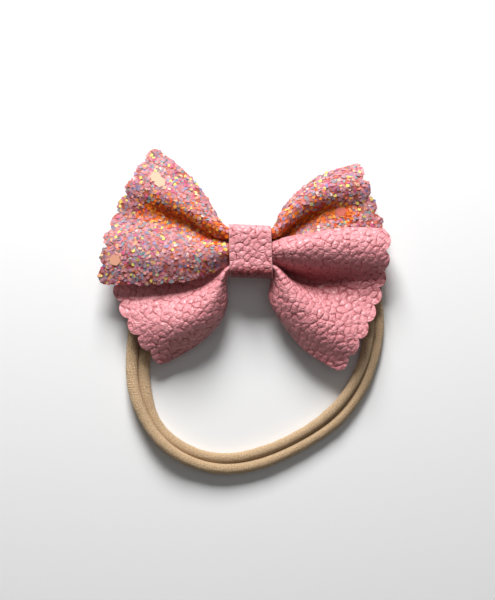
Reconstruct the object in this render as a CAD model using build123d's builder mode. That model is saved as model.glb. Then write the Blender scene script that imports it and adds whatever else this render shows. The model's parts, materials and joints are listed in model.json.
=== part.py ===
"""Hair bow on a stretch headband, laid flat on its back.

The frame has its origin on the back of the centre strap, where the bow rests on the table.  X runs
from wing to wing, Y from the headband's loop up to the bow, and Z out of the bow's face.
Two scalloped sheets are pinched at the waist, each bound with thread, and held by a leather strap
that also wraps the gathered headband, so that the bow turns on the band about X.
"""

import os
from math import hypot, radians, tan

from build123d import *

# ------------------------------------------------------------------ driving dimensions
bow_width = 113.0  # across the wings
bow_height = 86.0  # from the lowest wing corner to the highest
sheet_thickness = 1.0  # measured along Z, glitter and leather alike
scallops = 8  # lobes on each wing end
scallop_depth = 1.7

strap_width = 16.4  # along X
strap_height = 20.4  # along Y, at the front
strap_thickness = 1.1
strap_corner = 3.2
strap_side_gap = 0.25  # between the pinched sheets and the strap's sides
tab_width = 8.0  # overlap of the strap's ends, at the back
fold_wall = 1.2  # the strap where it folds back to overlap
seam_gap = 0.3  # filled by the glue film

neck_diameter = 6.2  # headband where the strap gathers it
neck_clearance = 0.35  # between the gathered headband and the strap
neck_spread = neck_diameter + 3.0  # width of the strap's tunnel at the back
band_width = 8.8  # headband's two rolls, side by side
band_thickness = 4.5
band_lift = 0.1  # lowest fibre above the table
table_gap = 0.3  # least height of a wing above the band

waist_height = 6.4  # pinched sheets, along Z
waist_gap = 0.7  # between the two waists, filled by the glue dab
waist_corner = 1.6  # radius round each pinched waist
waist_proud = 0.3  # how far each pinched waist stands out of the strap
waist_grip = 1.0  # how far each wing runs straight into its waist
strap_glue_film = 0.5  # between the waists and the strap's front
thread_diameter = 0.5
thread_turns = 5
thread_pitch = 0.75
thread_sink = 0.1  # clearance of the thread in its groove
groove_ease = 0.4  # the groove's spare length beside the thread
glue_margin = 1.5  # how far the glue stops inside the strap's sides
glue_corner = 0.8
neck_reach = 3.4  # how far the gathered headband runs out of the strap

# ------------------------------------------------------------------ heights that follow
tab_top = strap_thickness
ring_bottom = tab_top + seam_gap
tunnel_bottom = ring_bottom + strap_thickness
neck_z = tunnel_bottom + neck_clearance + neck_diameter / 2
waist_bottom = neck_z + neck_diameter / 2 + neck_clearance
waist_top = waist_bottom + waist_height
waist_z = (waist_bottom + waist_top) / 2
strap_top = waist_top + strap_glue_film + strap_thickness
band_z = band_lift + band_thickness / 2
wing_floor = band_lift + band_thickness + table_gap

inner_height = strap_height - 2 * strap_thickness
waist_width = (inner_height - waist_gap) / 2 - strap_side_gap  # one pinched sheet, along Y
waist_y = (waist_gap + waist_width) / 2

across = bow_width / 113.0
along = bow_height / 86.0
upper_lift = sheet_thickness - 1.0  # a wing that lies on another rises with the sheets' thickness


# ------------------------------------------------------------------ folded sheets
def fold(waist_share, waist_rise, *points):
    """One fold of a wing: where it leaves the waist, then its points (x, y, height above the band)."""
    return waist_share, waist_rise, points


def wing_surface(side, layer_y, folds, lift=0.0):
    """The smooth surface through a wing's folds, from the waist out to just past its scalloped end."""
    rows = []
    for waist_share, waist_rise, points in folds:
        y = layer_y + waist_share * (waist_width / 2 - waist_proud)
        z = waist_z - sheet_thickness / 2 + waist_rise
        root = (side * (strap_width / 2 - waist_grip), y, z)
        mouth = (side * (strap_width / 2 + waist_proud / 3), y, z)
        spots = [(x * across, y * along, wing_floor + height + lift) for x, y, height in points]
        line = Spline(root, mouth, *spots)
        rows.append([line @ (step / 8) for step in range(9)])
    return Face.make_surface_from_array_of_points(rows, tol=0.02)


def scalloped_end(points, bulge):
    """A row of equal lobes along a smooth guide through the points."""
    guide = Spline(*[(x * across, y * along) for x, y in points], mode=Mode.PRIVATE)
    notches = [guide @ (index / scallops) for index in range(scallops + 1)]
    for start, end in zip(notches, notches[1:]):
        SagittaArc(start, end, bulge * scallop_depth)


def waist_section(layer_y, inset, x):
    """The rounded section of a pinched waist, drawn inset from its full size."""
    with BuildSketch(Plane.YZ.offset(x)) as section:
        with Locations((layer_y, waist_z)):
            RectangleRounded(waist_width - 2 * inset, waist_height - 2 * inset, waist_corner - inset)
    return section.sketch


def bind_waist(layer_y):
    """Adds the pinched middle of a sheet, narrowed where its thread sinks in."""
    groove = thread_turns * thread_pitch + groove_ease
    shoulder = (strap_width - groove) / 2 + waist_proud
    sunk = thread_diameter + thread_sink
    extrude(waist_section(layer_y, 0, groove / 2), amount=shoulder)
    extrude(waist_section(layer_y, 0, -groove / 2), amount=-shoulder)
    extrude(waist_section(layer_y, sunk, 1 - strap_width / 2), amount=strap_width - 2)


def binding_thread(layer_y):
    """Turns of thread round a waist, each its own closed loop."""
    with BuildPart() as thread:
        for turn in range(thread_turns):
            x = (turn - (thread_turns - 1) / 2) * thread_pitch
            loop = waist_section(layer_y, thread_diameter / 2, x)
            path = loop.faces()[0].outer_wire()
            with BuildSketch(Plane(origin=path @ 0, z_dir=path % 0)) as strand:
                Circle(thread_diameter / 2)
            sweep(strand.sketch, path=path)
    return thread.part


# Folds of each wing, from its upper edge to its lower edge.
glitter_left = [
    fold(0.95, -1.0, (-16.0, 18.6, 0.6), (-27.3, 32.6, -1.6), (-38.6, 41.6, -3.2)),
    fold(0.45, 1.6, (-17.0, 13.0, 8.2), (-31.0, 22.5, 6.4), (-49.5, 33.0, 0.4)),
    fold(0.0, -0.6, (-18.0, 7.0, 4.6), (-33.0, 14.5, 3.6), (-56.0, 20.5, 2.0)),
    fold(-0.5, 1.9, (-18.0, -0.5, 9.6), (-34.0, 1.0, 9.8), (-60.5, 4.0, 6.6)),
    fold(-0.95, 1.5, (-13.6, -6.8, 8.0), (-30.0, -12.4, 7.4), (-62.0, -12.7, 4.6)),
]
glitter_right = [
    fold(0.95, -1.0, (14.0, 17.6, 1.2), (26.0, 28.9, -1.2), (43.8, 35.3, -3.2)),
    fold(0.45, 1.6, (14.5, 13.4, 7.4), (29.0, 23.0, 6.2), (50.5, 26.5, 0.8)),
    fold(0.0, 0.0, (15.0, 7.6, 4.2), (30.0, 13.5, 3.2), (54.5, 14.0, 1.4)),
    fold(-0.5, -0.6, (14.0, 2.2, 5.8), (29.0, 0.6, 5.4), (55.0, -3.0, 1.6)),
    fold(-0.95, -1.6, (14.0, -2.6, 4.2), (28.0, -9.0, 2.0), (51.5, -20.5, 1.4)),
]
leather_left = [
    fold(0.95, -1.6, (-17.0, 0.6, 4.0), (-32.0, 4.0, 1.4), (-54.5, 11.0, -1.6)),
    fold(0.5, -1.0, (-17.0, -4.6, 4.6), (-33.0, -3.0, 3.2), (-56.5, -2.0, 0.4)),
    fold(0.05, 0.4, (-16.0, -9.6, 4.6), (-34.0, -14.0, 3.0), (-55.5, -15.0, 1.2)),
    fold(-0.45, 1.4, (-14.5, -16.5, 8.2), (-27.0, -25.5, 7.4), (-50.0, -31.5, 2.6)),
    fold(-0.95, -0.8, (-10.0, -20.0, 3.4), (-19.5, -34.8, 1.2), (-36.0, -45.0, 0.6)),
]
leather_right = [
    fold(0.95, 1.2, (13.0, 4.9, 9.2), (30.0, 9.4, 7.8), (57.5, 8.6, 4.0)),
    fold(0.5, 1.8, (14.0, 1.0, 10.4), (31.0, 1.4, 10.4), (58.0, -1.6, 6.4)),
    fold(0.05, 0.6, (14.0, -5.8, 6.2), (29.0, -11.0, 4.4), (56.0, -13.0, 4.4)),
    fold(-0.45, 1.4, (14.5, -15.0, 9.0), (28.0, -24.0, 8.4), (51.0, -31.0, 3.4)),
    fold(-0.95, -0.8, (9.0, -15.5, 3.6), (17.0, -32.8, 0.8), (36.6, -48.0, 0.4)),
]

# ------------------------------------------------------------------ glitter layer
with BuildPart() as glitter_layer:
    extrude(wing_surface(-1, waist_y, glitter_left, upper_lift), amount=sheet_thickness, dir=(0, 0, 1))
    extrude(wing_surface(1, waist_y, glitter_right), amount=sheet_thickness, dir=(0, 0, 1))
    with BuildSketch() as glitter_outline:
        with BuildLine():
            scalloped_end([(-36.7, 40.1), (-46.1, 27.6), (-52.6, 13.7), (-57.0, 1.1), (-58.8, -12.6)], -1)
            scalloped_end([(41.6, 34.3), (48.2, 17.7), (52.2, 1.0), (48.8, -18.8)], 1)
            Line((-36.7 * across, 40.1 * along), (41.6 * across, 34.3 * along))
            Line((-58.8 * across, -12.6 * along), (48.8 * across, -18.8 * along))
        make_face()
    extrude(amount=strap_top * 2, mode=Mode.INTERSECT)
    bind_waist(waist_y)
glitter_layer.part.label = "glitter_layer"

# ------------------------------------------------------------------ leather layer
with BuildPart() as leather_layer:
    extrude(wing_surface(-1, -waist_y, leather_left), amount=sheet_thickness, dir=(0, 0, 1))
    extrude(wing_surface(1, -waist_y, leather_right, upper_lift), amount=sheet_thickness, dir=(0, 0, 1))
    with BuildSketch() as leather_outline:
        with BuildLine():
            scalloped_end([(-52.2, 9.6), (-53.0, -8.0), (-49.0, -21.8), (-41.6, -34.4), (-33.6, -43.3)], -1)
            scalloped_end([(54.5, 6.6), (52.4, -8.0), (46.1, -26.3), (34.2, -46.1)], 1)
            Polyline(
                (-52.2 * across, 9.6 * along),
                (-40.0 * across, 18.0 * along),
                (40.0 * across, 18.0 * along),
                (54.5 * across, 6.6 * along),
            )
            Line((-33.6 * across, -43.3 * along), (34.2 * across, -46.1 * along))
        make_face()
    extrude(amount=strap_top * 2, mode=Mode.INTERSECT)
    bind_waist(-waist_y)
leather_layer.part.label = "leather_layer"

# ------------------------------------------------------------------ binding threads
glitter_thread = binding_thread(waist_y)
glitter_thread.label = "glitter_binding_thread"
leather_thread = binding_thread(-waist_y)
leather_thread.label = "leather_binding_thread"


# ------------------------------------------------------------------ centre strap
def strap_profile(inset):
    """A rounded front round the waists that narrows to the gathered headband at the back."""
    front_bottom = waist_bottom - strap_side_gap - strap_thickness
    front = strap_top - front_bottom
    with BuildSketch(Plane.YZ.offset(-strap_width / 2)) as profile:
        with BuildSketch(Plane.YZ.offset(-strap_width / 2), mode=Mode.PRIVATE) as outline:
            with Locations((0, front_bottom + front / 2)):
                RectangleRounded(strap_height - 2 * inset, front - 2 * inset, strap_corner - inset)
            with Locations((0, neck_z)):
                RectangleRounded(
                    neck_spread + 2 * (strap_thickness - inset),
                    2 * (neck_z - ring_bottom - inset),
                    strap_corner - inset,
                )
        make_hull(outline.sketch_local.edges())
    return profile.sketch


with BuildPart() as centre_strap:
    extrude(strap_profile(0), amount=strap_width, dir=(1, 0, 0))
    extrude(strap_profile(strap_thickness), amount=strap_width, dir=(1, 0, 0), mode=Mode.SUBTRACT)
    with BuildSketch(Plane.YZ.offset(-strap_width / 2)):
        with Locations((0, tab_top / 2)):
            Rectangle(tab_width, strap_thickness)
        with Locations((-tab_width / 2 + fold_wall / 2, ring_bottom / 2 + 0.1)):
            Rectangle(fold_wall, ring_bottom + 0.2)
    extrude(amount=strap_width)
centre_strap.part.label = "centre_strap"

# ------------------------------------------------------------------ glue
glue_length = strap_width - 2 * glue_margin

with BuildPart() as layer_glue:
    with BuildSketch(Plane.YZ.offset(-glue_length / 2)):
        with Locations((0, waist_z)):
            Rectangle(waist_gap, waist_height - 2 * waist_corner - 0.2)
    extrude(amount=glue_length)
layer_glue.part.label = "layer_glue"

with BuildPart() as strap_glue:
    with BuildSketch(Plane.XY.offset(waist_top)):
        with GridLocations(0, 2 * waist_y, 1, 2):
            RectangleRounded(glue_length, waist_width - 2 * waist_corner - 0.8, glue_corner)
    extrude(amount=strap_glue_film)
strap_glue.part.label = "strap_glue"

with BuildPart() as seam_glue:
    with BuildSketch(Plane.XY.offset(tab_top)):
        with Locations((0, fold_wall / 2)):
            RectangleRounded(glue_length, tab_width - 2 * fold_wall - 1.0, glue_corner)
    extrude(amount=seam_gap)
seam_glue.part.label = "seam_glue"


# ------------------------------------------------------------------ headband
def band_plane(at, toward):
    """The plane square to the headband's path at a point."""
    return Plane(origin=(*at, band_z), x_dir=(toward[1], -toward[0], 0), z_dir=(*toward, 0))


def rolls(at, toward):
    """The headband's section, two rolls side by side, square to its path."""
    with BuildSketch(band_plane(at, toward)) as section:
        with GridLocations(band_width - band_thickness, 0, 2, 1):
            Circle(band_thickness / 2)
        Rectangle(band_width - band_thickness, 0.72 * band_thickness)
    return section.sketch


def direction(start, end):
    """The unit vector from one point of a route to the next."""
    run = hypot(end[0] - start[0], end[1] - start[1])
    return ((end[0] - start[0]) / run, (end[1] - start[1]) / run)


def corner_radii(route):
    """As large a bend at each inner point as its two runs allow."""
    radii = []
    for before, at, after in zip(route, route[1:], route[2:]):
        turn = Vector(*direction(before, at)).get_angle(Vector(*direction(at, after)))
        run_in = hypot(at[0] - before[0], at[1] - before[1])
        run_out = hypot(after[0] - at[0], after[1] - at[1])
        shorter = min(run_in, run_out)
        radii.append(0.45 * shorter / tan(radians(turn / 2)))
    return radii


def band_along(route):
    """The headband swept along a route on the table."""
    with BuildLine(Plane.XY.offset(band_z)) as path:
        FilletPolyline(*route, radius=corner_radii(route))
    sweep(rolls(route[0], direction(route[0], route[1])), path=path.line)


def middle(start, end):
    """The point halfway along a run."""
    return ((start[0] + end[0]) / 2, (start[1] + end[1]) / 2)


left_run = [(-42.8, -27.0), (-45.2, -51.0)]
right_run = [(48.7, -25.0), (47.1, -45.0)]
left_cut = middle(*left_run)
right_cut = middle(*right_run)
left_side = [(-26.0, -6.6), (-37.0, -15.0), left_run[0], left_cut]
right_side = [(26.5, -3.2), (38.0, -6.8), (46.2, -14.2), right_run[0], right_cut]
far_route = [
    left_cut,
    left_run[1],
    (-42.0, -61.0),
    (-36.0, -71.5),
    (-25.5, -80.2),
    (-11.0, -84.0),
    (5.0, -81.6),
    (20.5, -74.6),
    (33.5, -65.0),
    (42.6, -53.0),
    right_run[1],
    right_cut,
]

with BuildPart() as headband_near:
    neck_end = strap_width / 2 + neck_reach
    with BuildSketch(Plane.YZ.offset(-neck_end)) as neck:
        with Locations((0, neck_z)):
            Circle(neck_diameter / 2)
    extrude(amount=2 * neck_end)
    for side, route in ((-1, left_side), (1, right_side)):
        neck_plane = Plane(origin=(side * neck_end, 0, neck_z), x_dir=(0, -side, 0), z_dir=(side, 0, 0))
        with BuildSketch(neck_plane) as root:
            Circle(neck_diameter / 2)
        with BuildSketch(band_plane(route[0], direction(route[0], route[1]))) as shoulder:
            SlotOverall(band_width, band_thickness)
        loft([root.sketch, shoulder.sketch])
        band_along(route)
headband_near.part.label = "headband_near"

with BuildPart() as headband_far:
    band_along(far_route)
headband_far.part.label = "headband_far"

os.makedirs("parts", exist_ok=True)
export_step(glitter_layer.part, "parts/glitter_layer.step")
export_step(leather_layer.part, "parts/leather_layer.step")
export_step(glitter_thread, "parts/glitter_binding_thread.step")
export_step(leather_thread, "parts/leather_binding_thread.step")
export_step(layer_glue.part, "parts/layer_glue.step")
export_step(strap_glue.part, "parts/strap_glue.step")
export_step(seam_glue.part, "parts/seam_glue.step")
export_step(centre_strap.part, "parts/centre_strap.step")
export_step(headband_near.part, "parts/headband_near.step")
export_step(headband_far.part, "parts/headband_far.step")
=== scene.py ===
"""Hair bow on a stretch headband: a glitter sheet and a grained leather sheet, pinched and strapped."""

import json
import math

import bpy
import numpy as np
from mathutils import Matrix, Vector, noise
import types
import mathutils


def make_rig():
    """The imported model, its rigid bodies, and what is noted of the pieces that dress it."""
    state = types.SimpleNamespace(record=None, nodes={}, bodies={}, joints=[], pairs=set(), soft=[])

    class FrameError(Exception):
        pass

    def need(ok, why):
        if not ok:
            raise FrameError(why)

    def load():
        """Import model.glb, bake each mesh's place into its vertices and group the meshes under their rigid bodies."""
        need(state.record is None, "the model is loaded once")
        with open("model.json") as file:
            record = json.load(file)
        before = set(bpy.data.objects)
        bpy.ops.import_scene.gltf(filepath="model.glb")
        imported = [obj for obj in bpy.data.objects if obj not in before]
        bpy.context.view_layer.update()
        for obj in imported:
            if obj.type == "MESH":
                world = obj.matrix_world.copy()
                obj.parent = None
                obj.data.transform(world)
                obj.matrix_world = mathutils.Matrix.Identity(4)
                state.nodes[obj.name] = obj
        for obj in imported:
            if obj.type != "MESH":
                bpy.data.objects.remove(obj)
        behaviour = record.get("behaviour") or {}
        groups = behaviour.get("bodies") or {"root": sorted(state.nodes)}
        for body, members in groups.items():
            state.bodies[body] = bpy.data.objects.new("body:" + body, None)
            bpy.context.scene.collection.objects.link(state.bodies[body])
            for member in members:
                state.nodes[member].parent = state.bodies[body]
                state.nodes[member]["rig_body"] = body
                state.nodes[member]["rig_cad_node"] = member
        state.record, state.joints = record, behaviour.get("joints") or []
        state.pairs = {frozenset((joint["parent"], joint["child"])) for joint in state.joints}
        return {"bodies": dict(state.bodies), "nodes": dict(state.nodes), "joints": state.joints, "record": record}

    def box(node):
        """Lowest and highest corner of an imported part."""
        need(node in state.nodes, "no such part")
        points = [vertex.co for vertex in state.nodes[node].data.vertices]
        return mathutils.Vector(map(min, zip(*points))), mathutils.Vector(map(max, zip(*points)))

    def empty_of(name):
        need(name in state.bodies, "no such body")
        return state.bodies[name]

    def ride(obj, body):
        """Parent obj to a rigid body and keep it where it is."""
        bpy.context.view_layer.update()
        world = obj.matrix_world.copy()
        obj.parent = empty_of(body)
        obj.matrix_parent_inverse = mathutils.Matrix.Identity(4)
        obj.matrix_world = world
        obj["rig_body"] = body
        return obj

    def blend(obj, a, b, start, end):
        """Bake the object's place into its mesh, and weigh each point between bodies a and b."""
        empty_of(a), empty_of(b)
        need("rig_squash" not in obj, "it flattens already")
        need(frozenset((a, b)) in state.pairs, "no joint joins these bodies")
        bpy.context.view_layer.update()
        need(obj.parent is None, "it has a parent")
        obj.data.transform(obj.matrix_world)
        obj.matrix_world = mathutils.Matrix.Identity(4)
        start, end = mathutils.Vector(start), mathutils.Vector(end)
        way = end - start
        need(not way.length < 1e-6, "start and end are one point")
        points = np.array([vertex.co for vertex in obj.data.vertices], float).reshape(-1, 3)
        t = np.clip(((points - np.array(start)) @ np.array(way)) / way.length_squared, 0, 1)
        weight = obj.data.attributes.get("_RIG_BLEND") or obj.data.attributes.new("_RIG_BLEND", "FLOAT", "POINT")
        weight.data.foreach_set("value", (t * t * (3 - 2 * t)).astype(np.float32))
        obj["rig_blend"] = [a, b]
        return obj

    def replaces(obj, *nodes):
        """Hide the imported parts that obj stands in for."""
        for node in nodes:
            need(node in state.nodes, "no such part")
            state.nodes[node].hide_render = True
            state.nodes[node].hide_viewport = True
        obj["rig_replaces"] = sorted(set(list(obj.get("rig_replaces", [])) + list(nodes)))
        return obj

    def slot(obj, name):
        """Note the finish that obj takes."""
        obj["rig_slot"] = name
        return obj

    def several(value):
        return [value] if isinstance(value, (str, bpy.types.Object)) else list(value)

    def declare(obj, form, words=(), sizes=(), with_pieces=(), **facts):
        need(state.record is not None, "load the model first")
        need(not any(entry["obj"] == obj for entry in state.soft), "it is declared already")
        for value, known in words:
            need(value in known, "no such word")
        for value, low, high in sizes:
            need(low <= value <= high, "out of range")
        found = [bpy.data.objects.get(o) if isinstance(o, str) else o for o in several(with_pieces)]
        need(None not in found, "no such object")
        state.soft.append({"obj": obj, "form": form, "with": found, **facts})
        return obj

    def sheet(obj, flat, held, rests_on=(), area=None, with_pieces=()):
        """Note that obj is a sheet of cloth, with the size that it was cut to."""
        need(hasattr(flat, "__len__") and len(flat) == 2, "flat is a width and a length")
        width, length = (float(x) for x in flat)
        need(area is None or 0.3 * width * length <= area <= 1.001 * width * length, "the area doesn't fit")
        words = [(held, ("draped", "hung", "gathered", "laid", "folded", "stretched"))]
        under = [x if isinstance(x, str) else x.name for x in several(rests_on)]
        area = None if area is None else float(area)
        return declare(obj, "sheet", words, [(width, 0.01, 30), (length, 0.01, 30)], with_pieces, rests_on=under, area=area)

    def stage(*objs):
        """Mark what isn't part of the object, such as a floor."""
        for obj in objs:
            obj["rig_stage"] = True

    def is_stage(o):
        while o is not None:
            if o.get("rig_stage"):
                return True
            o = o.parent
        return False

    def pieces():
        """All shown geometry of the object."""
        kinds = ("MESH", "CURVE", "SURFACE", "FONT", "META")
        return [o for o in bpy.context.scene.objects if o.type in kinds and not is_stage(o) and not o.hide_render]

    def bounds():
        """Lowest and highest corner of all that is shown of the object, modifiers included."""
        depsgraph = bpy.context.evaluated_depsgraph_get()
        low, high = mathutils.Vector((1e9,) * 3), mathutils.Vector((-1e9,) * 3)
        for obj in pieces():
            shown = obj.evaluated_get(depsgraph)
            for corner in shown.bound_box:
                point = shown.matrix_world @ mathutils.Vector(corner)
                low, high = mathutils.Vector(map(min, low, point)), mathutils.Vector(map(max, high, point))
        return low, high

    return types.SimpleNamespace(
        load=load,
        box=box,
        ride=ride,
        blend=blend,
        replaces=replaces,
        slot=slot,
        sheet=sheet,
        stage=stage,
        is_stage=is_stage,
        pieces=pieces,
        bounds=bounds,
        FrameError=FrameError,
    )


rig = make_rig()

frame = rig.load()
cad_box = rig.bounds()

# A millimetre in metres.  Lengths are in millimetres unless they are given to Blender or to the frame.
MM = 0.001
PEBBLE_SPACING = 2.0
PEBBLE_HEIGHT = 0.22
PEBBLE_TRIES = 9000
PEBBLE_BATCH = 4000
PEBBLE_LEAN = np.array([0.6, 0.8, 0.0])
PEBBLE_STRETCH = 0.24
PEBBLE_SHOULDER = 0.36
CREASE_PATCH = 1.7
CREASE_DEPTH = 0.8
CREASE_LEAST = 0.4
SHEET_GRAIN_SEED = 3
STRAP_GRAIN_SEED = 8
SHEET_THICKNESS = 1.0
SCALLOPS = 8
SCALLOP_DEPTH = 2.3
LOBE_FULLNESS = 1.3
WAIST_REACH = 3.4
WAIST_MARGIN = 0.4
WAIST_PLEAT = 1.4
WAIST_ROWS = 10
WING_CLEARANCE = 0.3
FOLD_SAMPLES = 400
UNEVENNESS = ((0.45, 15), (0.16, 5))
CALM_REACH = 6
# Painted shade in the leather's valleys: the depth below the nearby crests where it starts, the depth over which it
# grows, and its most.
VALLEY_SHADE_START = 3.5
VALLEY_SHADE_RANGE = 6
VALLEY_PAINTED_SHADE = 0.7
PATTERN_WIDTH = 58
SMOOTH_ANGLE = math.radians(50)
# Sockets that nodes know by number only.
OBJECT_COORDINATES = 3
ATTRIBUTE_VALUE = 2
NOISE_COLOUR = 1
MIX_FACTOR, MIX_FIRST, MIX_SECOND, MIX_RESULT = 0, 6, 7, 2


def node_box(name):
    """A CAD node's lowest and highest corners, in millimetres."""
    low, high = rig.box(name)
    return np.array(low) / MM, np.array(high) / MM


strap_low, strap_high = node_box("centre_strap")
band_low, band_high = node_box("headband_far")
thread_low, thread_high = node_box("glitter_binding_thread")
waist_y, waist_z = ((thread_low + thread_high) / 2)[1:]
waist_width = thread_high[1] - thread_low[1]
wing_floor = band_high[2] + WING_CLEARANCE
neck_z = next(joint for joint in frame["joints"] if joint["name"] == "bow_tilt")["pos_m"][2] / MM


# ------------------------------------------------------------------ curves
def arc_places(line):
    """How far along a line each of its points is, 0 to 1."""
    steps = np.linalg.norm(np.diff(line, axis=0), axis=1)
    return np.concatenate([[0], np.cumsum(steps)]) / steps.sum()


def line_length(points):
    """The length of a line through points."""
    return float(np.linalg.norm(np.diff(points, axis=0), axis=1).sum())


def curve(points, places, knots=None):
    """Points at the given places, 0 to 1, along a smooth curve through the points."""
    points = np.asarray(points, float)
    if knots is None:
        knots = arc_places(points)
    gaps = np.diff(knots)[:, None]
    last = len(points) - 1
    system = np.eye(last + 1)
    bends = np.zeros_like(points)
    for i in range(1, last):
        system[i, i - 1 : i + 2] = gaps[i - 1, 0], 2 * (gaps[i - 1, 0] + gaps[i, 0]), gaps[i, 0]
        bends[i] = 6 * ((points[i + 1] - points[i]) / gaps[i] - (points[i] - points[i - 1]) / gaps[i - 1])
    bends = np.linalg.solve(system, bends)
    places = np.asarray(places, float)
    i = np.clip(np.searchsorted(knots, places) - 1, 0, last - 1)
    gap = gaps[i]
    past = places[:, None] - knots[i][:, None]
    left = gap - past
    return (
        (bends[i] * left**3 + bends[i + 1] * past**3) / (6 * gap)
        + (points[i] / gap - bends[i] * gap / 6) * left
        + (points[i + 1] / gap - bends[i + 1] * gap / 6) * past
    )


# ------------------------------------------------------------------ folds of the two sheets
# Each fold runs through points (x, y, height over the band), from the strap's mouth to just past the
# scalloped end.  A wing's folds go from its upper edge to its lower edge.
GLITTER_LEFT = [
    [(-8.4, 8.5, 5.1), (-16.0, 18.6, 1.8), (-27.3, 32.6, 0.2), (-38.6, 41.6, -1.2)],
    [(-8.4, 7.2, 9.4), (-17.0, 12.8, 8.8), (-31.0, 21.5, 7.4), (-50.0, 33.0, 0.4)],
    [(-8.4, 5.0, 8.4), (-17.4, 8.7, 7.0), (-29.6, 15.4, 5.8), (-38.0, 18.4, 4.6), (-56.0, 23.5, 1.4)],
    [(-8.4, 5.2, 5.6), (-17.6, 8.4, 4.0), (-30.0, 14.2, 3.6), (-38.0, 16.4, 3.6), (-57.0, 20.0, 1.4)],
    [(-8.4, 3.4, 7.6), (-18.0, 3.6, 6.0), (-32.0, 8.8, 3.8), (-58.5, 12.5, 3.0)],
    [(-8.4, 0.4, 9.7), (-18.0, -1.0, 9.8), (-34.0, -0.5, 9.4), (-60.5, 3.0, 6.6)],
    [(-8.4, -4.4, 7.2), (-15.6, -8.4, 7.0), (-22.8, -11.0, 7.2), (-35.0, -12.4, 7.4), (-62.0, -12.8, 5.4)],
]
GLITTER_RIGHT = [
    [(8.4, 8.5, 5.0), (11.4, 14.4, 3.4), (16.1, 21.2, 1.2), (26.0, 29.4, -1.2), (43.8, 35.8, -3.2)],
    [(8.4, 7.0, 9.4), (14.5, 13.8, 8.8), (27.0, 23.5, 7.4), (49.5, 28.5, 0.8)],
    [(8.4, 5.2, 8.2), (14.4, 9.6, 6.8), (22.4, 15.6, 6.0), (34.0, 19.0, 4.4), (53.0, 20.0, 1.6)],
    [(8.4, 5.2, 5.2), (14.6, 9.2, 2.8), (23.5, 14.2, 2.6), (36.0, 15.5, 3.0), (55.0, 13.5, 1.6)],
    [(8.4, 3.6, 4.6), (14.6, 3.4, 5.4), (30.0, 4.0, 5.2), (56.0, 0.0, 1.4)],
    [(8.4, 1.6, 4.6), (14.0, -2.6, 4.2), (28.0, -9.0, 1.2), (51.5, -20.5, 0.4)],
]
LEATHER_LEFT = [
    [(-8.4, -3.6, 4.2), (-17.0, 0.6, 2.6), (-32.0, 4.0, 1.4), (-54.5, 11.0, -1.6)],
    [(-8.4, -5.0, 4.4), (-16.0, -5.4, 2.4), (-33.0, -5.0, 1.4), (-56.5, -3.0, 0.2)],
    [(-8.4, -5.8, 6.0), (-14.0, -9.8, 3.4), (-24.0, -14.5, 3.2), (-54.5, -14.0, 0.6)],
    [(-8.4, -6.6, 8.2), (-13.2, -14.5, 9.4), (-24.0, -25.4, 9.6), (-50.0, -30.0, 4.0)],
    [(-8.4, -8.2, 6.0), (-10.6, -18.0, 6.0), (-17.4, -31.0, 4.6), (-42.0, -41.0, 2.4)],
    [(-8.4, -8.7, 4.8), (-9.3, -18.2, 1.8), (-14.4, -30.2, 0.8), (-24.5, -38.4, -0.4), (-36.0, -45.0, -0.4)],
]
LEATHER_RIGHT = [
    [(8.4, 3.2, 8.0), (14.0, 5.6, 7.6), (22.4, 7.2, 7.4), (32.7, 9.4, 6.8), (57.5, 9.6, 4.4)],
    [(8.4, 0.8, 10.1), (14.0, 1.4, 12.0), (31.0, 3.0, 11.6), (58.0, 0.6, 7.4)],
    [(8.4, -3.0, 8.4), (14.0, -4.6, 8.2), (30.0, -5.4, 8.0), (57.5, -6.0, 5.2)],
    [(8.4, -5.2, 4.8), (13.6, -8.4, 0.8), (20.0, -11.4, 0.7), (32.0, -13.4, 1.6), (56.5, -15.0, 2.2)],
    [(8.4, -5.8, 8.6), (13.6, -11.4, 9.8), (21.5, -20.5, 9.8), (34.0, -29.0, 8.4), (50.0, -34.0, 5.8)],
    [(8.4, -7.6, 6.4), (10.2, -17.0, 7.2), (16.6, -29.0, 6.6), (33.0, -39.5, 5.6), (44.0, -42.5, 4.4)],
    [(8.4, -8.6, 4.8), (7.4, -15.4, 4.4), (11.0, -25.2, 3.2), (18.0, -35.2, 2.6), (36.6, -48.0, 3.0)],
]
GLITTER_LEFT_END = [(-36.4, 39.8), (-44.6, 27.4), (-51.0, 14.0), (-55.2, 1.4), (-57.0, -12.4)]
GLITTER_RIGHT_END = [(40.6, 33.8), (46.8, 18.0), (50.8, 1.0), (48.0, -18.8)]
LEATHER_LEFT_END = [(-52.2, 9.6), (-53.0, -8.0), (-49.0, -21.8), (-41.6, -34.4), (-33.6, -43.3)]
LEATHER_RIGHT_END = [(52.0, 7.4), (51.0, -8.0), (45.4, -26.3), (34.0, -45.8)]


def fold_lines(side, layer_y, folds, rows):
    """Each fold of a wing as a smooth line from the bound waist to just past the scalloped end."""
    lines = []
    for at, spots in enumerate(folds):
        share = 1 - 2 * at / (len(folds) - 1)
        start_y = layer_y + share * (waist_width / 2 - WAIST_MARGIN)
        line = [(side * WAIST_REACH, start_y, waist_z + WAIST_PLEAT * (-1) ** at)]
        line += [(x, y, wing_floor + SHEET_THICKNESS / 2 + height) for x, y, height in spots]
        lines.append(curve(line, np.linspace(0, 1, rows)))
    return np.array(lines)


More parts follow.
